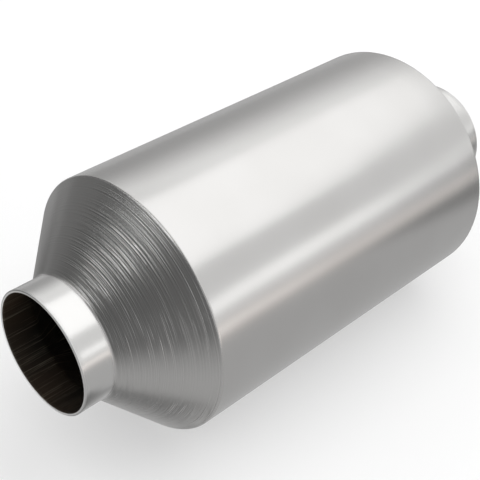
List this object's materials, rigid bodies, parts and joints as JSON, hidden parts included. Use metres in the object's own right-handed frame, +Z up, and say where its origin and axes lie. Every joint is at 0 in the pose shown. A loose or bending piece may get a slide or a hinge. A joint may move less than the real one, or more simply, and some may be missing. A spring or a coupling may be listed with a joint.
{
  "type": "catalytic converter",
  "caption": "Round catalytic converter: a spun stainless can with a cone and a plain pipe neck at each end, holding mat-wrapped ceramic honeycomb bricks.",
  "frame": {"origin": "on the surface that the can lies on, under the middle of the can: bottom centre of the bounding box", "axes": "+X along the gas flow from the inlet neck to the outlet neck, +Z up, across the flow"},
  "size_m": [0.2794, 0.127, 0.127],
  "materials": {
    "stainless": "satin spun stainless steel",
    "ceramic": "matt washcoated cordierite",
    "mat": "matt fibre mat with mica flakes",
    "wire_mesh": "knitted steel wire, pressed flat",
    "strip_steel": "rolled strip"
  },
  "bodies": {
    "root": {"shell": "stainless", "front_brick": "ceramic", "rear_brick": "ceramic", "front_mat": "mat", "rear_mat": "mat", "front_brick_inlet_seal": "wire_mesh", "front_brick_outlet_seal": "wire_mesh", "rear_brick_inlet_seal": "wire_mesh", "rear_brick_outlet_seal": "wire_mesh", "spacer_ring": "strip_steel"}
  },
  "joints": []
}
